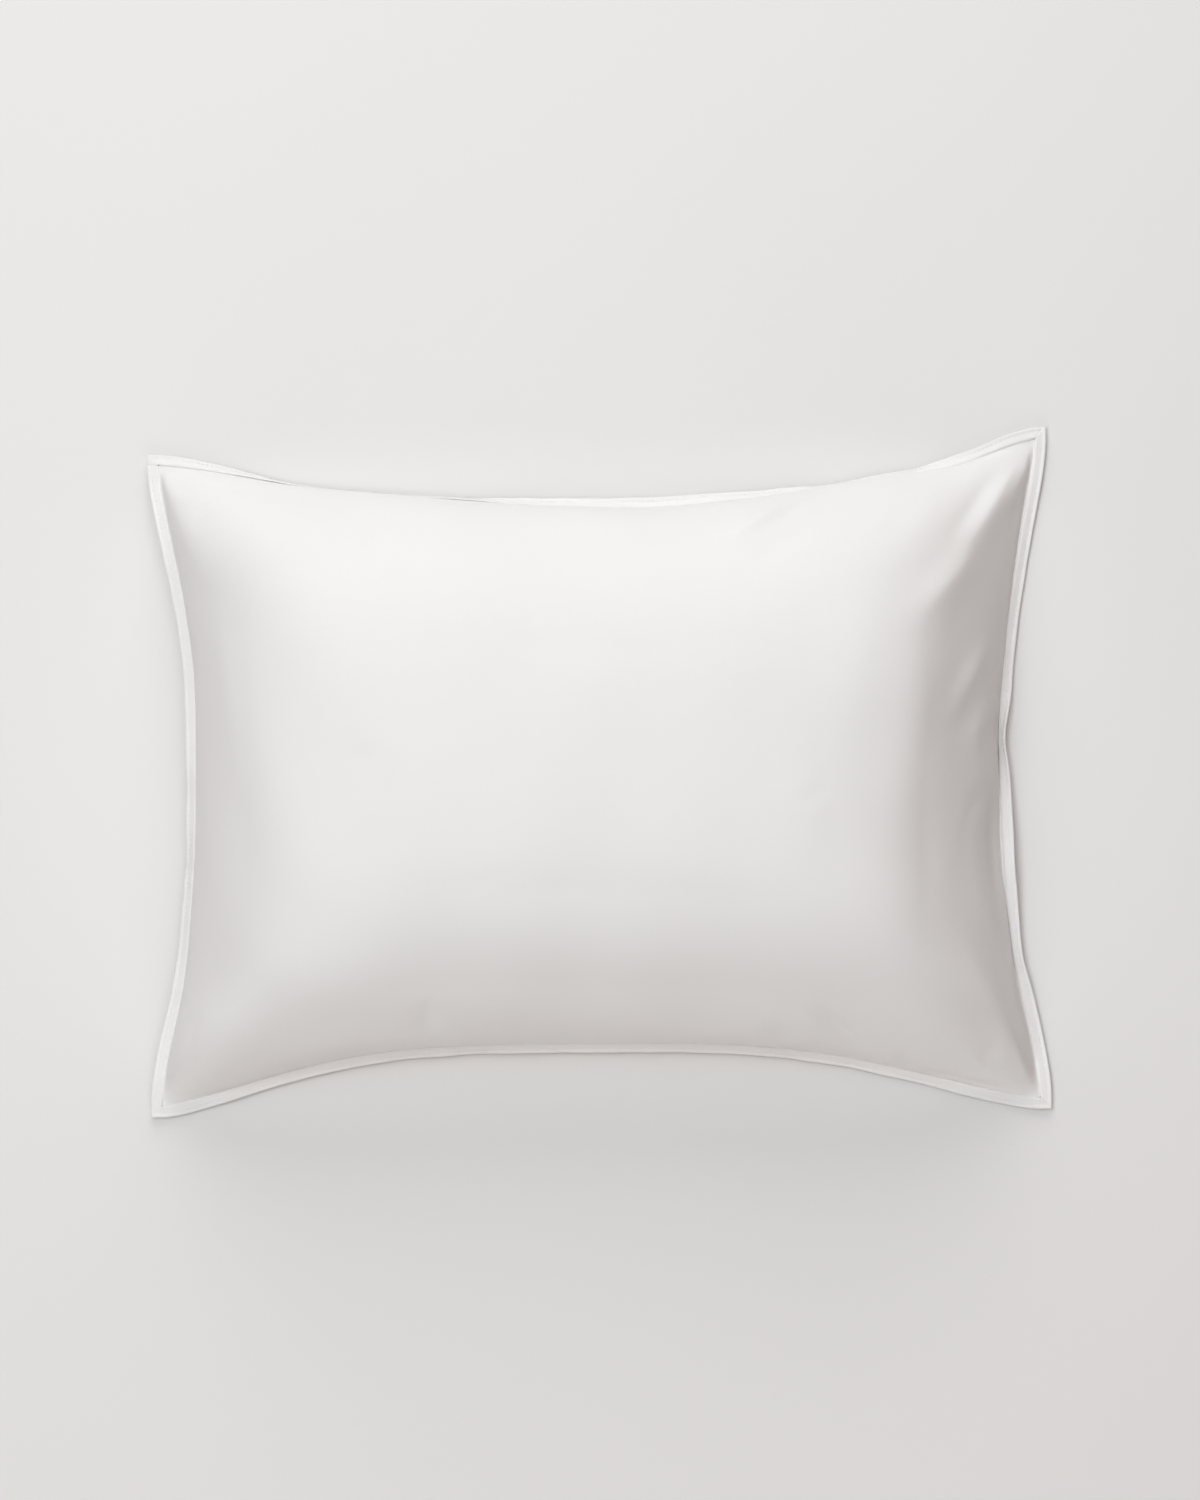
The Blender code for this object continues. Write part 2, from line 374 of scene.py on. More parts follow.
def turned_level(way: ndarray, angle: float) -> ndarray:
    """Turn a level direction anticlockwise by some radians."""
    c, s = math.cos(angle), math.sin(angle)
    return np.array((c * way[0] - s * way[1], s * way[0] + c * way[1], way[2]))


@dataclass(frozen=True)
class SeamWalk:
    """Steps once round the seam, with a fan of steps at each corner."""

    points: ndarray  # Points of the seam, before the whole is centred.
    outward: ndarray  # Level ways out, longer in a fan so that the band's edge stays straight.
    curl: ndarray  # Radians that the band turns up.
    corner: ndarray  # Number of the nearest corner, counted from the near left one.
    past_corner: ndarray  # Metres past that corner, below zero before it.
    # Place in the corner's fan, from -1 square to the side before it to 1 square to the side after
    # it, and further out along the sides.
    turned: ndarray
    walked: ndarray  # Metres from the start.


def walk_round(runs: list[SeamRun], fan: int, fan_reach: float = 0.0045) -> SeamWalk:
    """Join the sides' steps, with a fan between them at each corner.

    Args:
        runs: The four sides in order.
        fan: Steps of the fan on each side of a corner's diagonal.
        fan_reach: Metres along a side that count as one more step of the place in the fan.

    Returns:
        The steps once round.
    """
    rows: list[tuple[ndarray, ...]] = []
    share, inner, start = np.arange(-fan, fan + 1) / fan, slice(1, -1), 0.0
    same = np.ones(len(share))
    for index, run in enumerate(runs):
        before, length = runs[index - 1], run.distance[-1]
        half = half_turn(before, run)
        ways = np.array([turned_level(before.outward[-1], half * (1 + s)) for s in share])
        ways /= np.cos(half * (1 - np.abs(share)))[:, None]
        curl = np.where(share > 0, run.curl[0], before.curl[-1]) * np.abs(share)
        at_corner = (index * same, 0 * same, share, start * same)
        rows.append((run.points[0] * same[:, None], ways, curl, *at_corner))
        distance = run.distance[inner]
        later = distance > length / 2
        past = np.where(later, distance - length, distance)
        corner = np.where(later, index + 1, index) % len(runs)
        turned = np.sign(past) * (1 + np.abs(past) / fan_reach)
        plain = (run.points[inner], run.outward[inner], run.curl[inner])
        rows.append((*plain, corner, past, turned, start + distance))
        start += length
    return SeamWalk(*(np.concatenate(column) for column in zip(*rows)))


# ---------------------------------------------------------------- finishes
class Recipe:
    """A node material under construction."""

    def __init__(self, name: str) -> None:
        """Start an empty material.

        Args:
            name: The material's name.
        """
        self.material = bpy.data.materials.new(name)
        self.material.use_nodes = True
        self.tree = self.material.node_tree
        self.surface = self.tree.nodes["Principled BSDF"]

    def node(self, kind: str, settings: dict | None = None, **sockets: object) -> Node:
        """Add a node.

        Args:
            kind: Its type's name.
            settings: Its own settings.
            sockets: Its inputs by name, with underscores for spaces, as values or output sockets.

        Returns:
            The node.
        """
        node = self.tree.nodes.new(kind)
        for key, value in (settings or {}).items():
            setattr(node, key, value)
        for key, value in sockets.items():
            self.feed(node, key.replace("_", " "), value)
        return node

    def feed(self, node: Node, socket: str | int, value: object) -> None:
        """Set or link one input.

        Args:
            node: The node.
            socket: The input's name or number.
            value: A value, or the output socket to link.
        """
        if isinstance(value, NodeSocket):
            self.tree.links.new(value, node.inputs[socket])
        else:
            node.inputs[socket].default_value = value

    def finish(self, **sockets: object) -> Material:
        """Set or link the surface's inputs.

        Args:
            sockets: The inputs by name, with underscores for spaces, as values or output sockets.

        Returns:
            The finished material.
        """
        for key, value in sockets.items():
            self.feed(self.surface, key.replace("_", " "), value)
        return self.material

    def math(self, operation: str, first: object, second: object) -> NodeSocket:
        """Join two numbers by one sum.

        Args:
            operation: The sum's name.
            first: A value or an output socket.
            second: A value or an output socket.

        Returns:
            The result's socket.
        """
        node = self.node("ShaderNodeMath", {"operation": operation})
        self.feed(node, 0, first)
        self.feed(node, 1, second)
        return node.outputs[0]

    def blend(self, share: object, low: Sequence[float], high: Sequence[float]) -> NodeSocket:
        """Blend two colours.

        Args:
            share: A value or an output socket, 0 for the first colour and 1 for the second.
            low: The first colour.
            high: The second colour.

        Returns:
            The colour's socket.
        """
        node = self.node("ShaderNodeMix", {"data_type": "RGBA"})
        for socket, value in ((0, share), (6, (*low, 1)), (7, (*high, 1))):
            self.feed(node, socket, value)
        return node.outputs[2]


@dataclass(frozen=True)
class WovenCotton:
    """Plain-woven cotton, whose threads follow the cloth's own map in metres."""

    name: str  # The material's name.
    pale: Triple  # Colour of the lighter threads.
    deep: Triple  # Colour of the darker threads, and painted shade in the gaps between them.
    roughness: float = 0.82  # Of the cloth.
    patchiness: float = 0.04  # How far that differs from place to place.
    pitch: float = 0.00042  # Metres from one thread to the next.
    thread_height: float = 0.00004  # Metres that the threads stand up.
    slub_height: float = 0.00003  # Metres that the thicker threads stand up.
    sheen: float = 0.12  # Weight of the soft sheen of its short fibres.
    # Scales of the thicker threads, along them and across them.
    slub_scales: tuple[float, float] = (26, 1500)
    # Shares of the colour that the slubs, the threads' painted gap shade and the cloudiness have.
    tints: Triple = (0.25, 0.35, 0.45)

    def material(self) -> Material:
        """Build the material.

        Returns:
            The finished material.
        """
        recipe = Recipe(self.name)
        cloth = recipe.node("ShaderNodeUVMap", {"uv_map": "cloth"}).outputs[0]
        here = recipe.node("ShaderNodeTexCoord").outputs["Object"]
        threads = recipe.math("MULTIPLY", *(self._threads(recipe, cloth, way) for way in "XY"))
        scales = (self.slub_scales, self.slub_scales[::-1])
        slubs = recipe.math("ADD", *(self._slubs(recipe, cloth, *pair) for pair in scales))
        clouds = {"Scale": 9.0, "Detail": 3.0, "Roughness": 0.55}
        cloudy = recipe.node("ShaderNodeTexNoise", Vector=here, **clouds).outputs[0]
        # The threads darken the colour in the gaps between them, which is painted shade; the slubs
        # and the cloudiness are the cloth's own uneven tone.
        parts = zip((slubs, threads, cloudy), self.tints)
        tone_and_gap_shade, *others = (recipe.math("MULTIPLY", part, share) for part, share in parts)
        for other in others:
            tone_and_gap_shade = recipe.math("ADD", tone_and_gap_shade, other)
        rough = recipe.node(
            "ShaderNodeMapRange", Value=slubs, From_Min=0.3, From_Max=1.7,
            To_Min=self.roughness - self.patchiness, To_Max=self.roughness + self.patchiness,
        )
        thick = {"Strength": 0.5, "Distance": self.slub_height, "Height": slubs}
        bump = recipe.node("ShaderNodeBump", **thick).outputs[0]
        weave = {"Strength": 0.5, "Distance": self.thread_height, "Height": threads, "Normal": bump}
        return recipe.finish(
            Base_Color=recipe.blend(tone_and_gap_shade, self.deep, self.pale), Roughness=rough.outputs[0],
            Normal=recipe.node("ShaderNodeBump", **weave).outputs[0], Specular_IOR_Level=0.25,
            Sheen_Weight=self.sheen, Sheen_Roughness=0.6,
        )

    def _threads(self, recipe: Recipe, cloth: NodeSocket, way: str) -> NodeSocket:
        """Rows of threads side by side.

        Args:
            recipe: The material.
            cloth: The cloth's own map.
            way: The axis that the rows are counted along.

        Returns:
            The height's socket, from 0 to 1.
        """
        bands = {"wave_type": "BANDS", "bands_direction": way, "wave_profile": "SIN"}
        # The node has 20 bands in 2 pi metres at a scale of 1.
        scale = 2 * math.pi / 20 / self.pitch
        drift = {"Distortion": 0.6, "Detail": 1.0, "Detail_Scale": 0.02}
        wave = recipe.node("ShaderNodeTexWave", bands, Vector=cloth, Scale=scale, **drift)
        return wave.outputs["Fac"]

    def _slubs(self, recipe: Recipe, cloth: NodeSocket, first: float, second: float) -> NodeSocket:
        """Threads that are a little thicker here and there.

        Args:
            recipe: The material.
            cloth: The cloth's own map.
            first: Scale along the cloth's first axis.
            second: Scale along its second axis.

        Returns:
            The height's socket, from 0 to 1.
        """
        drawn = recipe.node("ShaderNodeMapping", Vector=cloth, Scale=(first, second, 1)).outputs[0]
        soft = {"Scale": 1.0, "Detail": 2.0, "Roughness": 0.5}
        return recipe.node("ShaderNodeTexNoise", Vector=drawn, **soft).outputs[0]


@dataclass(frozen=True)
class SewingThread:
    """Twisted sewing thread."""

    name: str  # The material's name.
    pale: Triple  # Colour of the thread.
    deep: Triple  # Painted shade in the grooves between its turns.

    def material(self) -> Material:
        """Build the material.

        Returns:
            The finished material.
        """
        recipe = Recipe(self.name)
        here = recipe.node("ShaderNodeTexCoord").outputs["Object"]
        twist = {"Scale": 900.0, "Distortion": 1.0, "Detail": 1.0}
        slanted = {"bands_direction": "DIAGONAL"}
        turns = recipe.node("ShaderNodeTexWave", slanted, Vector=here, **twist).outputs["Fac"]
        rough = recipe.node("ShaderNodeMapRange", Value=turns, To_Min=0.62, To_Max=0.5)
        bump = recipe.node("ShaderNodeBump", Strength=0.4, Distance=0.00005, Height=turns)
        return recipe.finish(
            # The colour darkens in the grooves between the turns, which is painted shade.
            Base_Color=recipe.blend(turns, self.deep, self.pale), Roughness=rough.outputs[0],
            Normal=bump.outputs[0], Sheen_Weight=0.2,
        )


@dataclass(frozen=True)
class FloorPaint:
    """The plain pale floor."""

    name: str  # The material's name.
    pale: Triple  # Its lighter colour.
    deep: Triple  # Its darker colour.

    def material(self) -> Material:
        """Build the material.

        Returns:
            The finished material.
        """
        recipe = Recipe(self.name)
        here = recipe.node("ShaderNodeTexCoord").outputs["Object"]
        cloudy = recipe.node("ShaderNodeTexNoise", Vector=here, Scale=2.2, Detail=2.0).outputs[0]
        tone = recipe.blend(cloudy, self.deep, self.pale)
        return recipe.finish(Base_Color=tone, Roughness=0.95, Specular_IOR_Level=0.1)


# ---------------------------------------------------------------- the filled case
class Panel(Enum):
    """The two pieces of cloth that the case is sewn from."""

    UPPER = 1
    UNDER = 0


@dataclass(frozen=True)
class Crease:
    """A soft ridge in the upper cloth, or a trough where its height is below zero."""

    start: tuple[float, float]  # Its start from above, before the whole is centred.
    end: tuple[float, float]  # Its end.
    start_width: float  # Metres from its crest to where it has mostly gone, at its start.
    end_width: float  # The same at its end.
    height: float  # Metres.
    strongest: float  # Share of the way along it where it is highest.
    bend: float = 0.0  # How far its middle is bowed to the left of the straight line.
    left_share: float = 1.0  # Its width left of its line, as a share of its width on the right.
    crest: float = 2.0  # 2 is rounded, and less is sharper.

    def lift(self, level: ndarray) -> ndarray:
        """Work out how far the crease moves the cloth.

        Args:
            level: One row of x and y for each point, before the whole is centred.

        Returns:
            Metres along the cloth's normal.
        """
        start, line = np.array(self.start), np.array(self.end) - np.array(self.start)
        left = np.array((-line[1], line[0])) / np.linalg.norm(line)
        offset = level - start
        reached = offset @ line / (line @ line)
        inside = np.clip(reached, 0, 1)
        off_line = offset @ left - self.bend * 4 * inside * (1 - inside)
        width = self.start_width + (self.end_width - self.start_width) * inside
        width = width * np.where(off_line > 0, self.left_share, 1.0)
        rise, fall = inside / self.strongest, (1 - inside) / (1 - self.strongest)
        swell = np.sin(np.pi / 2 * np.minimum(rise, fall)) ** 2
        return self.height * swell * np.exp(-np.abs(off_line / width) ** self.crest)


@dataclass(frozen=True)
class FilledCase:
    """Two cloth panels sewn together and filled tight."""

    seam: Seam  # The line where the panels meet.
    creases: tuple[Crease, ...]  # Its ridges and troughs.
    finish: WovenCotton  # The cloth.
    crown_height: float = 0.153  # Top of the crown above the surface.
    crown_dome: float = 0.075  # Share of that height that is lost towards each side and each end.
    sag_depth: float = 0.020  # How far it would sag below the surface if nothing held it up.
    rest_blend: float = 0.003  # Height over which the underside curls up from where it rests.
    resting_height: float = 0.0008  # Below it the underside is held still while it is blown up.
    long_cells: int = 124  # Cells along a long side before the subdivision.
    short_cells: int = 94  # Cells along a short side.
    crowding: float = 0.72  # How far the cells crowd towards the seam.
    merge: float = 0.00002  # Metres within which the two panels' points are sewn into one.
    on_seam: float = 1e-6  # Metres within which a point counts as on the seam.
    # Middles of the lower and the upper panel on the cloth's own map.
    map_middles: tuple[tuple[float, float], ...] = ((0.36, 0.92), (0.36, 0.30))
    start_inset: float = 0.0030  # How far inside its place the cloth starts before it is blown up.
    inset_fade: float = 0.02  # Metres from the seam over which it comes to start there.
    spare_cloth: float = -0.003  # Share that the cloth is longer than the shape it starts from.
    pressure: float = 4.0  # Inside the cloth while it is blown up.
    frames: int = 20  # Steps of the blowing up.
    most_motion: float = 0.005  # Cap on how far a point ends from its place.
    swells: Unevenness = Unevenness(0.085, 0.00045, 3)  # The cloth's faint unevenness.
    gathers: Unevenness = Unevenness(0.014, 0.00010, 5)  # Its faint gathers beside the seam.
    gather_reach: float = 0.012  # Metres from the seam over which the gathers fade.
    seam_clear: float = 0.0035  # Metres from the seam over which these and the creases begin.

    def build(self) -> None:
        """Make the case and dress it."""
        case = self._sew()
        self._blow_up(case)
        self._refine(case)
        self._crease(case)
        case.data.materials.clear()
        case.data.materials.append(self.finish.material())
        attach(case, BODY)
        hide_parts("filled_case")
        log.info("%s: %d faces", case.name, len(case.data.polygons))

    def _sew(self) -> Object:
        """Make both panels and sew them along the seam.

        Returns:
            One closed piece.
        """
        upper, under = (self._panel(panel) for panel in Panel)
        pick_only(upper, under)
        bpy.ops.object.join()
        face_outwards(upper, self.merge)
        upper.name = upper.data.name = "pillowcase"
        return upper

    def _panel(self, panel: Panel) -> Object:
        """Make one panel from a grid, with its cloth map.

        Args:
            panel: Which of the two.

        Returns:
            The panel with its points in place.
        """
        pick_only()
        cells = {"x_subdivisions": self.long_cells, "y_subdivisions": self.short_cells}
        bpy.ops.mesh.primitive_grid_add(size=2, **cells)
        piece = bpy.context.object
        level = read_points(piece.data)
        u, v = self._crowded(level[:, 0]), self._crowded(level[:, 1])
        points = self._upper(u, v) if panel is Panel.UPPER else self._under(u, v)
        write_points(piece.data, points + self.seam.shift)
        for name, values in (("u", u), ("v", v), ("upper", np.full(len(u), float(panel.value)))):
            write_mark(piece.data, name, values)
        self._map_cloth(piece.data, panel)
        return piece

    def _map_cloth(self, mesh: Mesh, panel: Panel) -> None:
        """Lay the panel's map out flat at its real size, measured along the cloth both ways.

        Args:
            mesh: The panel's mesh, still in the grid's order.
            panel: Which of the two.
        """
        rows, columns = self.short_cells + 1, self.long_cells + 1
        grid = read_points(mesh).reshape(rows, columns, 3)
        flat = np.zeros((rows, columns, 2))
        flat[:, 1:, 0] = np.cumsum(length_of(np.diff(grid, axis=1))[..., 0], axis=1)
        flat[1:, :, 1] = np.cumsum(length_of(np.diff(grid, axis=0))[..., 0], axis=0)
        flat[..., 0] -= flat[:, columns // 2 : columns // 2 + 1, 0]
        flat[..., 1] -= flat[rows // 2 : rows // 2 + 1, :, 1]
        flat += self.map_middles[panel.value]
        corners = read_rows(mesh.loops, "vertex_index", 1, np.int32)[:, 0]
        cloth = mesh.uv_layers[0]
        cloth.name = "cloth"
        cloth.data.foreach_set("uv", flat.reshape(-1, 2)[corners].astype(np.float32).ravel())

    def _half(self, edge: Edge) -> float:
        """Rough distance of one side from the middle of the case."""
        tip, axis = (Tip.FAR_RIGHT, 1) if edge in (Edge.NEAR, Edge.FAR) else (Tip.NEAR_RIGHT, 0)
        return self.seam.corners[tip][axis]

    def _from_seam(self, mesh: Mesh) -> ndarray:
        """Rough metres from the seam to each point of the case's mesh, as seen from above."""
        u, v = (np.abs(read_mark(mesh, name)) for name in "uv")
        return np.minimum((1 - u) * self._half(Edge.RIGHT), (1 - v) * self._half(Edge.FAR))

    def _crowded(self, share: ndarray) -> ndarray:
        """Even steps from -1 to 1, made finer towards both ends."""
        return (1 - self.crowding) * share + self.crowding * np.sin(np.pi / 2 * share)

    def _rise(self, place: ndarray, other: ndarray, edge: Edge, panel: Panel) -> ndarray:
        """How the filling rises away from one side.

        Args:
            place: How near the side is, from 1 on the seam to 0 in the middle.
            other: Place along the side, from -1 at its start to 1 at its end.
            edge: The side.
            panel: The upper or the lower cloth.

        Returns:
            From 0 on the seam to 1 in the middle.
        """
        side = self.seam.sides[edge]
        slope = side.top if panel is Panel.UPPER else side.under
        ledge = (slope.ledge + self.seam.uneven(edge, other, "ledge")) / self._half(edge)
        flat = 1 - (np.hypot(1 - place, ledge) - ledge)
        return np.clip(1 - flat**slope.roundness, 0, 1) ** slope.steepness

    def _fullness(self, u: ndarray, v: ndarray, panel: Panel) -> ndarray:
        """How full the case is.

        Args:
            u: From -1 on the left side to 1 on the right.
            v: From -1 on the near side to 1 on the far one.
            panel: The upper or the lower cloth.

        Returns:
            From 0 on the seam to 1 in the middle.
        """
        left, right = (self._rise(np.abs(u), v, edge, panel) for edge in (Edge.LEFT, Edge.RIGHT))
        near, far = (self._rise(np.abs(v), u, edge, panel) for edge in (Edge.NEAR, Edge.FAR))
        return np.where(u > 0, right, left) * np.where(v > 0, far, near)

    def _upper(self, u: ndarray, v: ndarray) -> ndarray:
        """Find points of the upper panel, before the whole is centred.

        Args:
            u: From -1 on the left side to 1 on the right.
            v: From -1 on the near side to 1 on the far one.

        Returns:
            One row of x, y and z for each pair.
        """
        points, full = self.seam.sheet(u, v), self._fullness(u, v, Panel.UPPER)
        domed = 1 - self.crown_dome * (u**2 + v**2)
        points[:, 2] += (self.crown_height - points[:, 2]) * full * domed
        return points

    def _under(self, u: ndarray, v: ndarray) -> ndarray:
        """Find points of the lower panel, flat where it rests, before the whole is centred.

        Args:
            u: From -1 on the left side to 1 on the right.
            v: From -1 on the near side to 1 on the far one.

        Returns:
            One row of x, y and z for each pair.
        """
        points, full = self.seam.sheet(u, v), self._fullness(u, v, Panel.UNDER)
        hanging, blend = points[:, 2] - (points[:, 2] + self.sag_depth) * full, self.rest_blend
        curled = (np.clip(hanging, -blend, None) + blend) ** 2 / (4 * blend)
        points[:, 2] = np.where(hanging < blend, curled, hanging)
        return points

    def _blow_up(self, case: Object) -> None:
        """Start the cloth a little inside its place and let pressure swell it there.

        Args:
            case: The case, which is changed.
        """
        mesh = case.data
        place, seamward = read_points(mesh), self._from_seam(mesh)
        resting = (read_mark(mesh, "upper") < 0.5) & (place[:, 2] < self.resting_height)
        inset = self.start_inset * (1 - fade(seamward, self.inset_fade)) * ~resting
        write_points(mesh, place - read_rows(mesh.vertex_normals, "vector", 3) * inset[:, None])
        held = case.vertex_groups.new(name="held")
        still = np.flatnonzero((seamward < self.on_seam) | resting)
        held.add(still.tolist(), 1.0, "REPLACE")
        pick_only(case)
        bpy.ops.object.modifier_add(type="CLOTH")
        cloth = case.modifiers[-1]
        cloth.settings.quality = 6
        cloth.settings.mass = 0.2
        cloth.settings.tension_stiffness = cloth.settings.compression_stiffness = 30
        cloth.settings.shear_stiffness = 12
        cloth.settings.bending_stiffness = 0.6
        cloth.settings.use_pressure = True
        cloth.settings.uniform_pressure_force = self.pressure
        cloth.settings.shrink_min = -self.spare_cloth
        cloth.settings.vertex_group_mass = "held"
        cloth.settings.effector_weights.gravity = 0
        cloth.point_cache.frame_start, cloth.point_cache.frame_end = 1, self.frames
        for step in range(1, self.frames + 1):
            bpy.context.scene.frame_set(step)
        bpy.ops.object.modifier_apply(modifier=cloth.name)
        case.vertex_groups.clear()
        moved = read_points(mesh) - place
        far = length_of(moved)
        report = "blown up: points end %.1f mm from their place, %.1f at most"
        log.info(report, far.mean() * 1e3, far.max() * 1e3)
        write_points(mesh, place + moved * np.minimum(1, self.most_motion / np.maximum(far, 1e-9)))

    def _refine(self, case: Object) -> None:
        """Subdivide the cloth once, with the seam kept where it is.

        Args:
            case: The case, which is changed.
        """
        pick_only(case)
        mesh = case.data
        ends = read_rows(mesh.edges, "vertices", 2, np.int32)
        write_mark(mesh, "crease_edge", (self._from_seam(mesh) < self.on_seam)[ends].all(1), "EDGE")
        bpy.ops.object.modifier_add(type="SUBSURF")
        finer = case.modifiers[-1]
        finer.levels = finer.render_levels = 1
        bpy.ops.object.modifier_apply(modifier=finer.name)
        bpy.ops.object.shade_smooth()

    def _crease(self, case: Object) -> None:
        """Raise the creases, gathers and faint swells, with the underside kept on the surface.

        Args:
            case: The case, which is changed.
        """
        mesh = case.data
        points, seamward = read_points(mesh), self._from_seam(mesh)
        level = (points - self.seam.shift)[:, :2]
        lift = sum(crease.lift(level) for crease in self.creases) * (read_mark(mesh, "upper") > 0.5)
        lift += self.swells.at(points)
        lift += self.gathers.at(points) * fade(seamward, self.gather_reach)
        lift *= 1 - fade(seamward, self.seam_clear)
        points += read_rows(mesh.vertex_normals, "vector", 3) * lift[:, None]
        points[:, 2] = np.maximum(points[:, 2], 0.0)
        write_points(mesh, points)


# ---------------------------------------------------------------- the band
@dataclass(frozen=True)
class BandStation:
    """A place across the band."""

    out: float  # Metres out from the seam.
    top: float  # Half thickness towards the upper face.
    under: float  # Half thickness towards the under face.


@dataclass(frozen=True)
class Mitre:
    """How the strip is folded at one corner, counted round from the near left one."""

    # Where the fold line lies in the corner's fan: 0 is the diagonal, 1 square to the side after
    # it, and -1 square to the side before it.
    fold: float
    depth: float  # Share of the thickness that is lost in the fold line.
    lap: float  # Share by which the strip is thicker on the side after the fold line.
    groove: float = 0.16  # Reach of the fold line's groove, on the fan's scale.
    lap_edge: float = 0.05  # How soft the edge of the lap is.
    lap_reach: float = 1.6  # How far the lap spreads.

    def thickness(self, turned: ndarray) -> ndarray:
        """Work out how thick the strip is beside the fold.

        Args:
            turned: Places in the corner's fan.

        Returns:
            A share of the plain thickness at each place.
        """
        apart = turned - self.fold
        lapped = (0.5 + 0.5 * np.tanh(apart / self.lap_edge / 2)) * fade(apart, self.lap_reach)
        return 1 - self.depth * fade(apart, self.groove) + self.lap * lapped


@dataclass(frozen=True)
class EdgeBand:
    """A folded strip sewn round the seam as a flat band."""

    seam: Seam  # The line that it is sewn to.
    stations: tuple[BandStation, ...]  # Its section, from the seam outwards.
    mitres: tuple[Mitre, ...]  # Its four corners.
    finish: WovenCotton  # The cloth.
    width: float = 0.0075  # Metres out to its edge.
    spacing: float = 0.0010  # Metres between sections along a side.
    fan: int = 8  # Sections on each side of a corner's diagonal.
    root_out: float = 0.00005  # Metres from the seam out to its root where a corner squeezes it.
    corner_reach: float = 0.004  # Metres from a corner over which its section opens out.
    stitch_out: float = 0.0046  # Metres from the seam to the row of stitches.
    stitch_pitch: float = 0.0034  # Metres from one stitch to the next.
    pinch: float = 0.6  # Share of the thickness that is lost where the needle went through.
    pinch_reach: float = 0.0009  # Metres across the band over which that fades.
    corner_gain: float = 0.18  # Share by which it is thicker at the corners.
    gain_reach: float = 0.009  # Metres along a side over which that fades.
    waves: Unevenness = Unevenness(0.045, 0.00022, 11)  # How its edge waves up and down.
    lumps: Unevenness = Unevenness(0.022, 0.10, 17)  # How its thickness varies, as a share.
    bend_room: float = 0.0008  # Metres that a turned-up band stands off the seam.

    def build(self) -> None:
        """Make the band and dress it."""
        walk = walk_round(self.seam.runs(self.spacing), self.fan)
        steps, rings = len(walk.points), 2 * len(self.stations)
        band = self._tube(steps, rings)
        tube = read_points(band.data)
        step = np.rint(np.arctan2(tube[:, 1], tube[:, 0]) / (2 * np.pi) * steps).astype(int) % steps
        ring = np.rint(tube[:, 2]).astype(int)
        sections = self._sections(walk)
        write_points(band.data, sections[step, ring])
        self._map_cloth(band.data, sections, step, ring)
        face_outwards(band)
        bpy.ops.object.shade_smooth()
        band.data.materials.clear()
        band.data.materials.append(self.finish.material())
        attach(band, BODY)
        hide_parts("edge_band")
        log.info("%s: %d faces, %.3f m round", band.name, len(band.data.polygons), walk.walked[-1])

    def _tube(self, steps: int, rings: int) -> Object:
        """Make the strip's mesh: a circle extruded ring by ring, and its two ends bridged.

        Args:
            steps: Points round each ring.
            rings: Rings in all.

        Returns:
            The tube, with the ring's number as height and the step's number as angle.
        """
        pick_only()
        bpy.ops.mesh.primitive_circle_add(vertices=steps, radius=1, fill_type="NOTHING")
        strip = bpy.context.object
        strip.name = strip.data.name = "flat_band"
        bpy.ops.object.mode_set(mode="EDIT")
        bpy.ops.mesh.select_all(action="SELECT")
        for _ in range(rings - 1):
            bpy.ops.mesh.extrude_region_move(TRANSFORM_OT_translate={"value": (0, 0, 1)})
        shape = bmesh.from_edit_mesh(strip.data)
        bpy.ops.mesh.select_all(action="DESELECT")
        for edge in shape.edges:
            if edge.is_boundary:
                edge.select_set(True)
        bmesh.update_edit_mesh(strip.data)
        bpy.ops.mesh.bridge_edge_loops()
        bpy.ops.object.mode_set(mode="OBJECT")
        return strip

    def _sections(self, walk: SeamWalk) -> ndarray:
        """Find the band's section at each step.

        Args:
            walk: Steps round the seam.

        Returns:
            A row of points for each step, over the upper face and back under.
        """
        over = [(s.out, s.top) for s in self.stations]
        back = [(s.out, -s.under) for s in reversed(self.stations)]
        out, half = (np.array(column) for column in zip(*over, *back))
        near = np.clip(np.abs(walk.past_corner) / self.corner_reach, 0, 1)
        squeezed = self.root_out + (out - self.root_out) * near[:, None]
        out = np.where(out < self.root_out, squeezed, out)
        wave = (self.waves.at(walk.walked[:, None]) * near)[:, None] * out / self.width
        return self.surface(walk, out, half * self._fullness(walk, out) + wave)

    def _fullness(self, walk: SeamWalk, out: ndarray) -> ndarray:
        """Work out how thick the strip is, as a share of its plain section.

        Args:
            walk: Steps round the seam.
            out: Metres out from the seam, for each step and each ring.

        Returns:
            A share for each step and each ring.
        """
        past = np.abs(walk.past_corner) - self.corner_reach / 2
        clear = np.clip(past / self.corner_reach, 0, 1)
        needle = (0.5 + 0.5 * np.cos(2 * np.pi * walk.walked / self.stitch_pitch)) ** 2 * clear
        full = 1 - self.pinch * needle[:, None] * fade(out - self.stitch_out, self.pinch_reach)
        along = 1 + self.lumps.at(walk.walked[:, None]) * clear
        along *= 1 + self.corner_gain * fade(walk.past_corner, self.gain_reach)
        for number, mitre in enumerate(self.mitres):
            along *= np.where(walk.corner == number, mitre.thickness(walk.turned), 1.0)
        return full * along[:, None]

    def surface(self, steps: SeamRun | SeamWalk, out: ndarray, height: ndarray) -> ndarray:
        """Find points on or in the band.

        Args:
            steps: Steps along the seam.
            out: Metres out from the seam, for each step and each ring.
            height: Metres above the middle of the strip, for each step and each ring.

        Returns:
            A row of points for each step.
        """
        turn, unit = steps.curl[:, None], steps.outward / length_of(steps.outward)
        across = steps.outward * np.cos(turn) + UP * np.sin(turn)
        face = UP * np.cos(turn) - unit * np.sin(turn)
        root = steps.points + self.seam.shift + unit * (self.bend_room * np.abs(np.sin(turn)))
        return root[:, None] + across[:, None] * out[..., None] + face[:, None] * height[..., None]

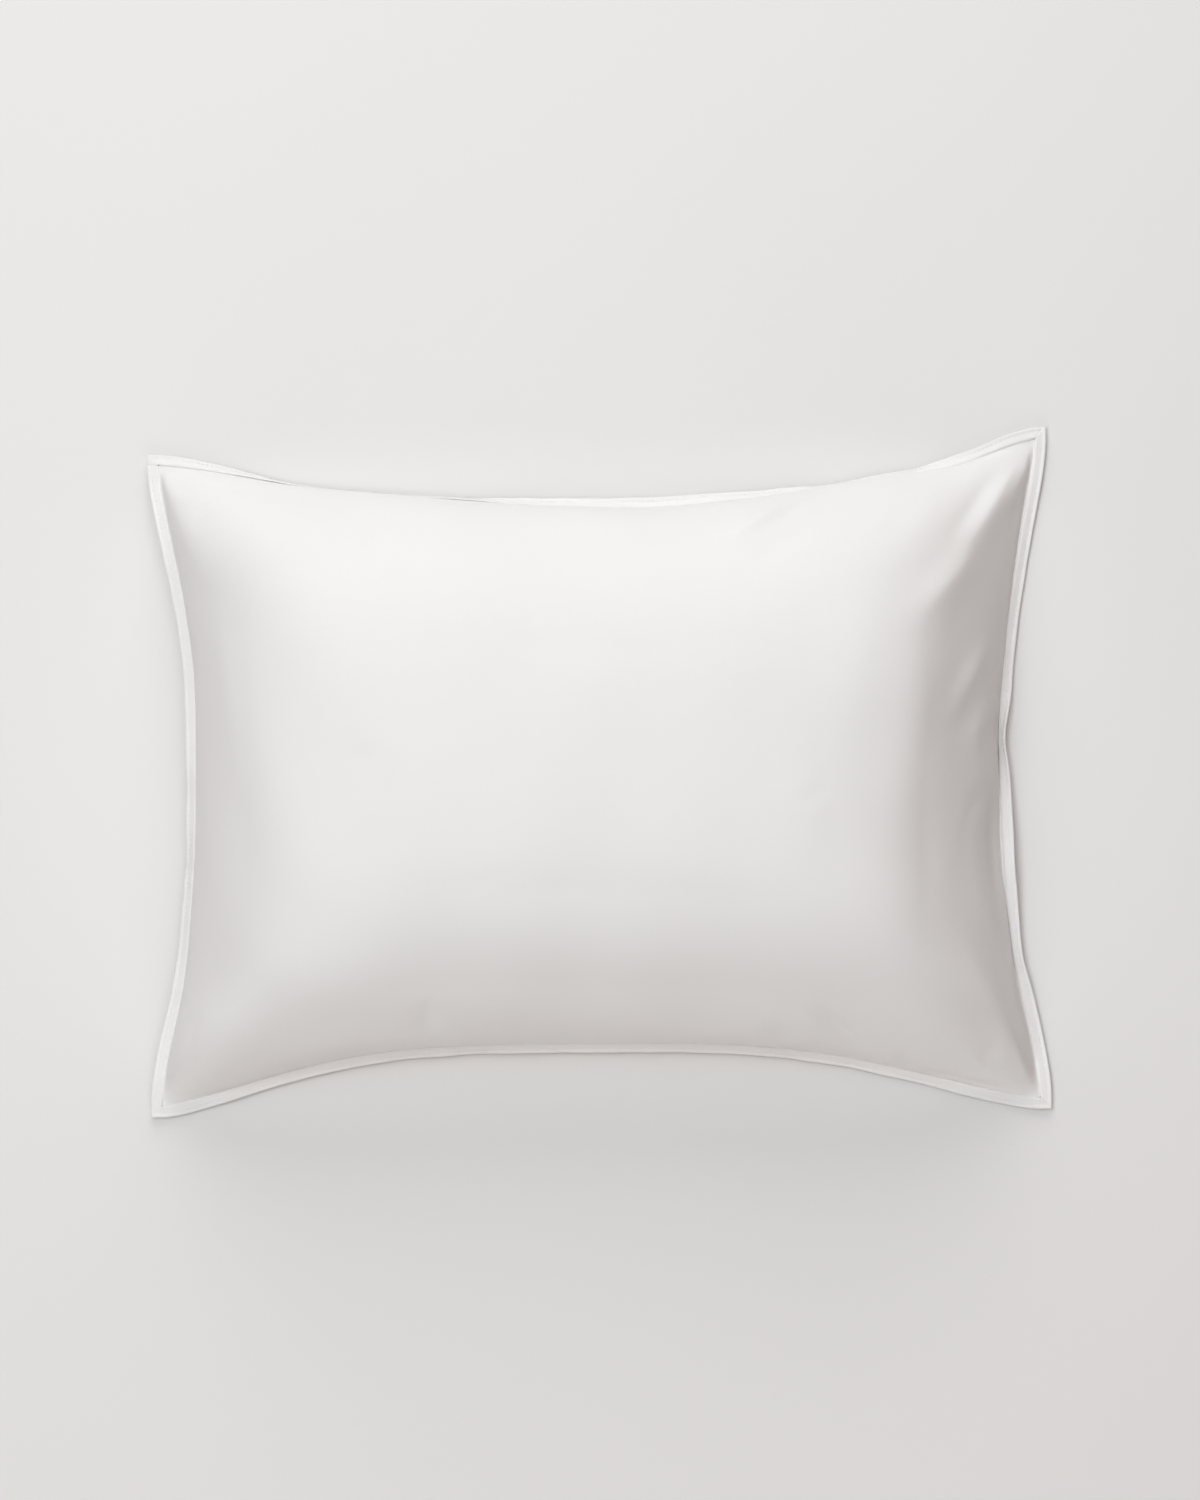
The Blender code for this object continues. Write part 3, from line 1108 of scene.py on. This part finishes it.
    def _map_cloth(self, mesh: Mesh, sections: ndarray, step: ndarray, ring: ndarray) -> None:
        """Lay the strip's map out flat at its real size, along it and across it.

        Args:
            mesh: The band's mesh.
            sections: The band's points, for each step and each ring.
            step: Step of each point of the mesh.
            ring: Ring of each point of the mesh.
        """
        steps, rings = sections.shape[:2]
        # The line along the middle of the upper face, and one section well clear of the corners.
        middle, plain = sections[:, rings // 4], sections[steps // 8]
        along = np.cumsum(length_of(np.diff(middle, axis=0, prepend=middle[-1:]))[:, 0])
        across = np.cumsum(length_of(np.diff(plain, axis=0, prepend=plain[:1]))[:, 0])
        faces = read_rows(mesh.loops, "vertex_index", 1, np.int32).reshape(-1, 4)
        place = []
        for number, run, count in ((step, along, steps), (ring, across, rings)):
            of_face = number[faces]
            wraps = (of_face.max(1) == count - 1) & (of_face.min(1) == 0)
            closing = run[-1] + run[1] - run[0]
            place.append(np.where(wraps[:, None] & (of_face == 0), closing, run[of_face]))
        cloth = mesh.uv_layers.new(name="cloth")
        cloth.data.foreach_set("uv", np.stack(place, -1).astype(np.float32).ravel())


# ---------------------------------------------------------------- the stitches
@dataclass(frozen=True)
class Stitching:
    """Two rows of stitches, one on each face of the band."""

    band: EdgeBand  # The band that is stitched.
    finish: SewingThread  # The thread.
    thread: float = 0.00022  # Half the thread's thickness.
    length: float = 0.0025  # Of one stitch.
    slant: float = 0.10  # Radians that a stitch lies across the row.
    # How the slant varies from stitch to stitch, in radians.
    stray: Unevenness = Unevenness(0.007, 0.04, 23)
    corner_gap: float = 0.4  # Share of the pitch that a row stops short of the mitre.
    # Where a stitch is cut across so that it can bend, as shares of its length.
    cuts: tuple[float, ...] = (-0.3, 0.0, 0.3)
    # How far a stitch's middle stands up, as a share of half the thread's thickness.
    proud: float = 0.55
    dip: float = 2.2  # How far its ends go down into the cloth, on the same scale.
    taper: float = 0.93  # How slim its ends are, up to 1.

    def build(self) -> None:
        """Make the stitches and dress them."""
        one = self._one_stitch()
        places, faces = read_points(one.data), [tuple(face.vertices) for face in one.data.polygons]
        sewn, corners = [], []
        for frames in self._frames():
            for origin, along, side, up in zip(*frames):
                corners.extend(tuple(v + len(sewn) * len(places) for v in face) for face in faces)
                sewn.append(origin + places @ np.stack([along, side, up]))
        bpy.data.objects.remove(one)
        mesh = bpy.data.meshes.new("stitches")
        mesh.from_pydata(np.concatenate(sewn).tolist(), [], corners)
        stitches = bpy.data.objects.new("stitches", mesh)
        bpy.context.scene.collection.objects.link(stitches)
        pick_only(stitches)
        bpy.ops.object.shade_smooth()
        mesh.materials.append(self.finish.material())
        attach(stitches, BODY)
        log.info("%s: %d stitches, %d faces", stitches.name, len(sewn), len(mesh.polygons))

    def _one_stitch(self) -> Object:
        """Model one stitch: a short round thread whose ends dip into the cloth.

        Returns:
            The stitch, along X, with the cloth at height 0.
        """
        pick_only()
        size = {"radius": self.thread, "depth": self.length, "rotation": (0, math.pi / 2, 0)}
        bpy.ops.mesh.primitive_cylinder_add(vertices=6, end_fill_type="TRIFAN", **size)
        stitch = bpy.context.object
        bpy.ops.object.transform_apply(location=True, rotation=True, scale=True)
        bpy.ops.object.mode_set(mode="EDIT")
        for cut in self.cuts:
            bpy.ops.mesh.select_all(action="SELECT")
            bpy.ops.mesh.bisect(plane_co=(cut * self.length, 0, 0), plane_no=(1, 0, 0))
        face_outwards(stitch)
        points = read_points(stitch.data)
        share = np.abs(points[:, 0]) / (self.length / 2)
        points[:, 1:] *= np.sqrt(1 - (share * self.taper) ** 4)[:, None]
        points[:, 2] += self.thread * self.proud - share**3 * self.thread * self.dip
        write_points(stitch.data, points)
        return stitch

    def _frames(self) -> list[tuple[ndarray, ...]]:
        """Place the stitches on both faces of each side.

        Returns:
            Places, ways along, ways across and ways up, one set for each side and face.
        """
        band, frames = self.band, []
        outs = [s.out for s in band.stations]
        runs, gap = band.seam.runs(band.spacing), self.corner_gap * band.stitch_pitch
        for index, run in enumerate(runs):
            before, after = runs[index - 1], runs[(index + 1) % len(runs)]
            first = -band.stitch_out * math.tan(half_turn(before, run)) + gap
            last = run.distance[-1] + band.stitch_out * math.tan(half_turn(run, after)) - gap
            count = int((last - first) / band.stitch_pitch)
            steps = run.at(np.linspace(first, last, count))
            on_row = np.full((count, 1), band.stitch_out)
            middle = band.surface(steps, on_row, 0 * on_row)[:, 0]
            along, turn = along_from(steps.outward), steps.curl[:, None]
            face = UP * np.cos(turn) - steps.outward * np.sin(turn)
            for way, name in ((1, "top"), (-1, "under")):
                up = face * way
                height = np.interp(band.stitch_out, outs, [getattr(s, name) for s in band.stations])
                tilt = (self.slant * way + self.stray.at(steps.distance[:, None]))[:, None]
                leaned = along * np.cos(tilt) + np.cross(up, along) * np.sin(tilt)
                frames.append((middle + up * height, leaned, np.cross(up, leaned), up))
        return frames


# ---------------------------------------------------------------- the studio
@dataclass(frozen=True)
class SoftLight:
    """A large soft light that faces the middle of the case."""

    name: str  # Its name.
    place: Triple  # Where it stands.
    width: float  # Metres across.
    depth: float  # Metres the other way.
    power: float  # Watts.
    colour: Triple  # Its tint.

    def hang(self, aim: Vector) -> None:
        """Add the light.

        Args:
            aim: The point that it faces.
        """
        bpy.ops.object.light_add(type="AREA", location=self.place)
        light = bpy.context.object
        light.name = light.data.name = self.name
        light.data.shape = "RECTANGLE"
        light.data.size, light.data.size_y = self.width, self.depth
        light.data.energy = self.power
        light.data.color = self.colour
        light.visible_camera = False
        light.rotation_euler = (aim - light.location).to_track_quat("-Z", "Y").to_euler()


@dataclass(frozen=True)
class Studio:
    """A plain pale floor, soft light all round, and the camera almost overhead."""

    lights: tuple[SoftLight, ...]  # The soft lights.
    surround: Triple  # Colour and strength of the light from all round.
    floor: FloorPaint  # Finish of the floor.
    aim: Vector  # The point at the middle of the view.
    lens: float = 85.0  # Millimetres.
    distance: float = 2.45  # Metres from the camera to the point that it looks at.
    elevation: float = 85.0  # Degrees of the camera above the floor.
    floor_size: float = 9.0  # Metres each way.
    # Metres from the floor up to the case, so that their flat faces don't coincide.
    floor_gap: float = 0.0002

    def build(self) -> None:
        """Lay the floor, hang the lights and set up the camera."""
        self._lay_floor()
        self._light_all_round()
        for light in self.lights:
            light.hang(self.aim)
        self._set_camera()
        bpy.context.scene.view_settings.view_transform = "Standard"
        log.info("studio: %d soft lights", len(self.lights))

    def _lay_floor(self) -> None:
        """Lay a wide level floor."""
        pick_only()
        bpy.ops.mesh.primitive_plane_add(size=self.floor_size, location=(0, 0, -self.floor_gap))
        floor = bpy.context.object
        floor.name = floor.data.name = "floor"
        floor.data.materials.append(self.floor.material())

    def _light_all_round(self) -> None:
        """Give the surroundings an even light."""
        world = bpy.data.worlds.new("surround")
        bpy.context.scene.world = world
        world.use_nodes = True
        glow = world.node_tree.nodes["Background"]
        glow.inputs["Color"].default_value = (*self.surround, 1)

    def _set_camera(self) -> None:
        """Add the camera, looking down from just off the near side."""
        rise = math.radians(self.elevation)
        place = self.aim + Vector((0, -math.cos(rise), math.sin(rise))) * self.distance
        turn = (self.aim - place).to_track_quat("-Z", "Y").to_euler()
        bpy.ops.object.camera_add(location=place, rotation=turn)
        camera = bpy.context.object
        camera.name = camera.data.name = "camera"
        camera.data.lens = self.lens
        bpy.context.scene.camera = camera


# ---------------------------------------------------------------- this pillowcase
UNDER_SIDE = Slope(2.8, 0.45, 0.0010)
UNDER_END = Slope(4.0, 0.45, 0.0010)

CORNERS = {
    Tip.NEAR_LEFT: (-0.306, -0.246, 0.004),
    Tip.NEAR_RIGHT: (0.308, -0.240, 0.004),
    Tip.FAR_LEFT: (-0.3135, 0.2065, 0.006),
    Tip.FAR_RIGHT: (0.309, 0.226, 0.0045),
}
SIDES = {
    Edge.NEAR: SeamSide(
        Tip.NEAR_LEFT, Tip.NEAR_RIGHT, (0, 1), 0.0415, -0.05, 3.2, 1.60, 0.006,
        Slope(5.1, 0.64, 0.0040), UNDER_SIDE,
    ),
    Edge.FAR: SeamSide(
        Tip.FAR_LEFT, Tip.FAR_RIGHT, (0, -1), 0.0440, 0.03, 2.25, 1.35, 0.014,
        Slope(4.1, 0.70, 0.0040), UNDER_SIDE,
    ),
    Edge.LEFT: SeamSide(
        Tip.NEAR_LEFT, Tip.FAR_LEFT, (1, 0), 0.0267, 0.06, 2.9, 1.86, 0.006,
        Slope(5.9, 0.75, 0.0040), UNDER_END,
    ),
    Edge.RIGHT: SeamSide(
        Tip.NEAR_RIGHT, Tip.FAR_RIGHT, (-1, 0), 0.0265, 0.02, 3.0, 1.88, 0.0,
        Slope(7.0, 1.20, 0.0028), UNDER_END,
    ),
}
STRETCHES = (
    SeamStretch(Edge.NEAR, -0.36, 0.44, curl=-38.0),
    SeamStretch(Edge.NEAR, 0.40, 0.44, curl=-38.0),
    SeamStretch(Edge.LEFT, 0.70, 0.22, inward=-0.0027),
    SeamStretch(Edge.LEFT, -0.25, 0.40, inward=-0.0005, curl=-36.0),
    SeamStretch(Edge.LEFT, -0.68, 0.20, inward=0.0043),
    SeamStretch(Edge.RIGHT, 0.62, 0.28, inward=-0.0041, curl=-14.0),
    SeamStretch(Edge.RIGHT, 0.08, 0.13, inward=0.0017, curl=62.0),
    SeamStretch(Edge.RIGHT, -0.28, 0.19, curl=28.0, ledge=0.0080, raised=0.0070),
    SeamStretch(Edge.RIGHT, -0.58, 0.11, inward=0.0025, curl=35.0),
    SeamStretch(Edge.FAR, -0.88, 0.14, inward=-0.0030),
    SeamStretch(Edge.FAR, -0.70, 0.24, curl=-78.0),
    SeamStretch(Edge.FAR, -0.33, 0.24, inward=-0.0060, curl=-78.0),
    SeamStretch(Edge.FAR, 0.58, 0.26, curl=-82.0),
    SeamStretch(Edge.FAR, 0.86, 0.16, inward=0.0195),
)

CREASES = (
    # Pulls that fan out from the far right corner.
    Crease(
        (0.308, 0.225), (0.235, 0.108), 0.005, 0.011, 0.0070, 0.45,
        bend=-0.003, left_share=1.7, crest=1.6,
    ),
    Crease((0.311, 0.227), (0.277, 0.162), 0.004, 0.007, 0.0028, 0.35, left_share=1.5, crest=1.7),
    Crease((0.264, 0.146), (0.202, 0.070), 0.007, 0.014, 0.0056, 0.50, left_share=1.5, crest=1.6),
    Crease((0.288, 0.210), (0.232, 0.128), 0.005, 0.009, -0.0024, 0.50),
    Crease((0.250, 0.186), (0.196, 0.132), 0.008, 0.014, 0.0010, 0.50),
    # The top edge of the steep right side.
    Crease((0.222, 0.120), (0.202, -0.108), 0.022, 0.024, 0.0060, 0.38, left_share=1.2),
    Crease((0.186, 0.118), (0.172, -0.030), 0.028, 0.030, 0.0042, 0.42, left_share=1.3),
    # Slack on the steep right side.
    Crease((0.276, 0.086), (0.228, 0.006), 0.005, 0.009, 0.0022, 0.50),
    Crease((0.276, 0.038), (0.246, -0.008), 0.005, 0.008, 0.0015, 0.45),
    # The lip beside the right seam.
    Crease((0.2745, -0.008), (0.2815, -0.124), 0.007, 0.007, -0.0040, 0.50, bend=-0.002),
    # One short crease under the far seam, with a shallow valley on each side.
    Crease((0.146, 0.180), (0.076, 0.132), 0.0035, 0.0055, 0.0040, 0.45),
    Crease((0.130, 0.184), (0.060, 0.150), 0.006, 0.009, -0.0022, 0.50),
    Crease((0.156, 0.160), (0.094, 0.118), 0.006, 0.010, -0.0020, 0.50),
    Crease((0.198, 0.164), (0.184, 0.142), 0.004, 0.006, 0.0007, 0.50),
    # The pull from the near right corner.
    Crease(
        (0.308, -0.241), (0.225, -0.100), 0.006, 0.024, 0.0074, 0.40,
        bend=0.003, left_share=1.6, crest=1.6,
    ),
    Crease(
        (0.3095, -0.242), (0.243, -0.146), 0.005, 0.014, 0.0038, 0.45,
        bend=0.002, left_share=0.8, crest=1.5,
    ),
    # Short creases above the near seam.
    Crease((0.190, -0.214), (0.138, -0.172), 0.004, 0.006, -0.0034, 0.50),
    Crease((0.222, -0.222), (0.200, -0.208), 0.003, 0.004, -0.0018, 0.50),
    Crease((0.142, -0.202), (0.108, -0.188), 0.004, 0.006, -0.0020, 0.50),
    Crease((-0.112, -0.202), (-0.122, -0.170), 0.007, 0.009, -0.0018, 0.50),
    # The top edge of the left side, and the pulls from its two corners.
    Crease(
        (-0.280, 0.176), (-0.222, -0.130), 0.014, 0.024, 0.0046, 0.42,
        bend=0.008, left_share=1.4,
    ),
    Crease((-0.308, 0.200), (-0.258, 0.090), 0.007, 0.018, 0.0052, 0.40, left_share=1.6, crest=1.7),
    Crease((-0.3125, 0.206), (-0.294, 0.165), 0.004, 0.006, 0.0026, 0.35, left_share=1.3),
    Crease(
        (-0.309, -0.240), (-0.215, -0.166), 0.010, 0.032, 0.0085, 0.42,
        bend=0.006, left_share=0.9, crest=1.8,
    ),
    # The top edge of the near side, towards its left end.
    Crease((-0.256, -0.170), (-0.090, -0.160), 0.022, 0.026, 0.0034, 0.45, left_share=1.2),
)

BAND_SECTION = (
    BandStation(-0.0009, 0.00035, 0.00035),
    BandStation(0.0002, 0.00062, 0.00062),
    BandStation(0.0007, 0.00086, 0.00080),
    BandStation(0.0013, 0.00082, 0.00076),
    BandStation(0.0022, 0.00062, 0.00062),
    BandStation(0.0034, 0.00060, 0.00060),
    BandStation(0.0041, 0.00054, 0.00054),
    BandStation(0.0046, 0.00044, 0.00044),
    BandStation(0.0051, 0.00056, 0.00056),
    BandStation(0.0058, 0.00074, 0.00070),
    BandStation(0.0066, 0.00100, 0.00090),
    BandStation(0.0073, 0.00088, 0.00080),
    BandStation(0.0077, 0.00040, 0.00036),
)

MITRES = (
    Mitre(0.0, 0.45, 0.20),
    Mitre(0.0, 0.55, 0.20),
    Mitre(0.2, 0.45, 0.20),
    Mitre(1.0, 0.50, -0.25),
)

LIGHTS = (
    SoftLight("ceiling_light", (0.0, 0.0, 2.8), 3.0, 3.0, 7.8, (0.98, 1.0, 1.0)),
    SoftLight("over_left_light", (-0.8, 0.0, 2.9), 1.5, 1.5, 35.7, (1.0, 0.982, 0.944)),
    SoftLight("high_far_left_light", (-0.8, 0.8, 2.6), 1.0, 1.0, 9.4, (0.46, 0.75, 1.0)),
    SoftLight("far_light", (0.0, 2.6, 1.5), 3.0, 2.0, 56.4, (1.0, 0.985, 0.978)),
    SoftLight("near_light", (0.0, -2.6, 1.5), 3.0, 2.0, 25.8, (0.992, 0.985, 1.0)),
    SoftLight("warm_right_light", (2.6, 0.0, 1.3), 3.0, 2.0, 1.3, (1.0, 0.1, 0.03)),
    SoftLight("warm_left_light", (-2.6, 0.0, 1.3), 3.0, 2.0, 1.2, (1.0, 0.1, 0.03)),
)
SURROUND = (0.107, 0.080, 0.070)
AIM_HEIGHT = 0.05

CASE_CLOTH = WovenCotton("case_cotton", (0.86, 0.855, 0.845), (0.80, 0.795, 0.785))
BAND_CLOTH = WovenCotton("band_cotton", (0.87, 0.865, 0.855), (0.80, 0.795, 0.785))
THREAD = SewingThread("white_thread", (0.88, 0.875, 0.865), (0.74, 0.735, 0.725))
FLOOR = FloorPaint("pale_floor", (0.80, 0.795, 0.785), (0.79, 0.785, 0.775))


def centred_on_cad() -> Triple:
    """Centre the seam's corners on the box of the CAD case.

    Returns:
        How far the whole moves.
    """
    middle = sum(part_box("filled_case"), Vector()) / 2
    across, along, _ = zip(*CORNERS.values())
    return middle.x - (min(across) + max(across)) / 2, middle.y - (min(along) + max(along)) / 2, 0.0


def main() -> None:
    """Build the pillowcase and its studio."""
    logging.basicConfig(level=logging.INFO, format="%(name)s: %(message)s")
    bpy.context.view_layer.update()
    seam = Seam(CORNERS, SIDES, STRETCHES, centred_on_cad())
    FilledCase(seam, CREASES, CASE_CLOTH).build()
    band = EdgeBand(seam, BAND_SECTION, MITRES, BAND_CLOTH)
    band.build()
    Stitching(band, THREAD).build()
    Studio(LIGHTS, SURROUND, FLOOR, Vector(seam.shift) + Vector((0, 0, AIM_HEIGHT))).build()


if __name__ == "__main__":
    main()
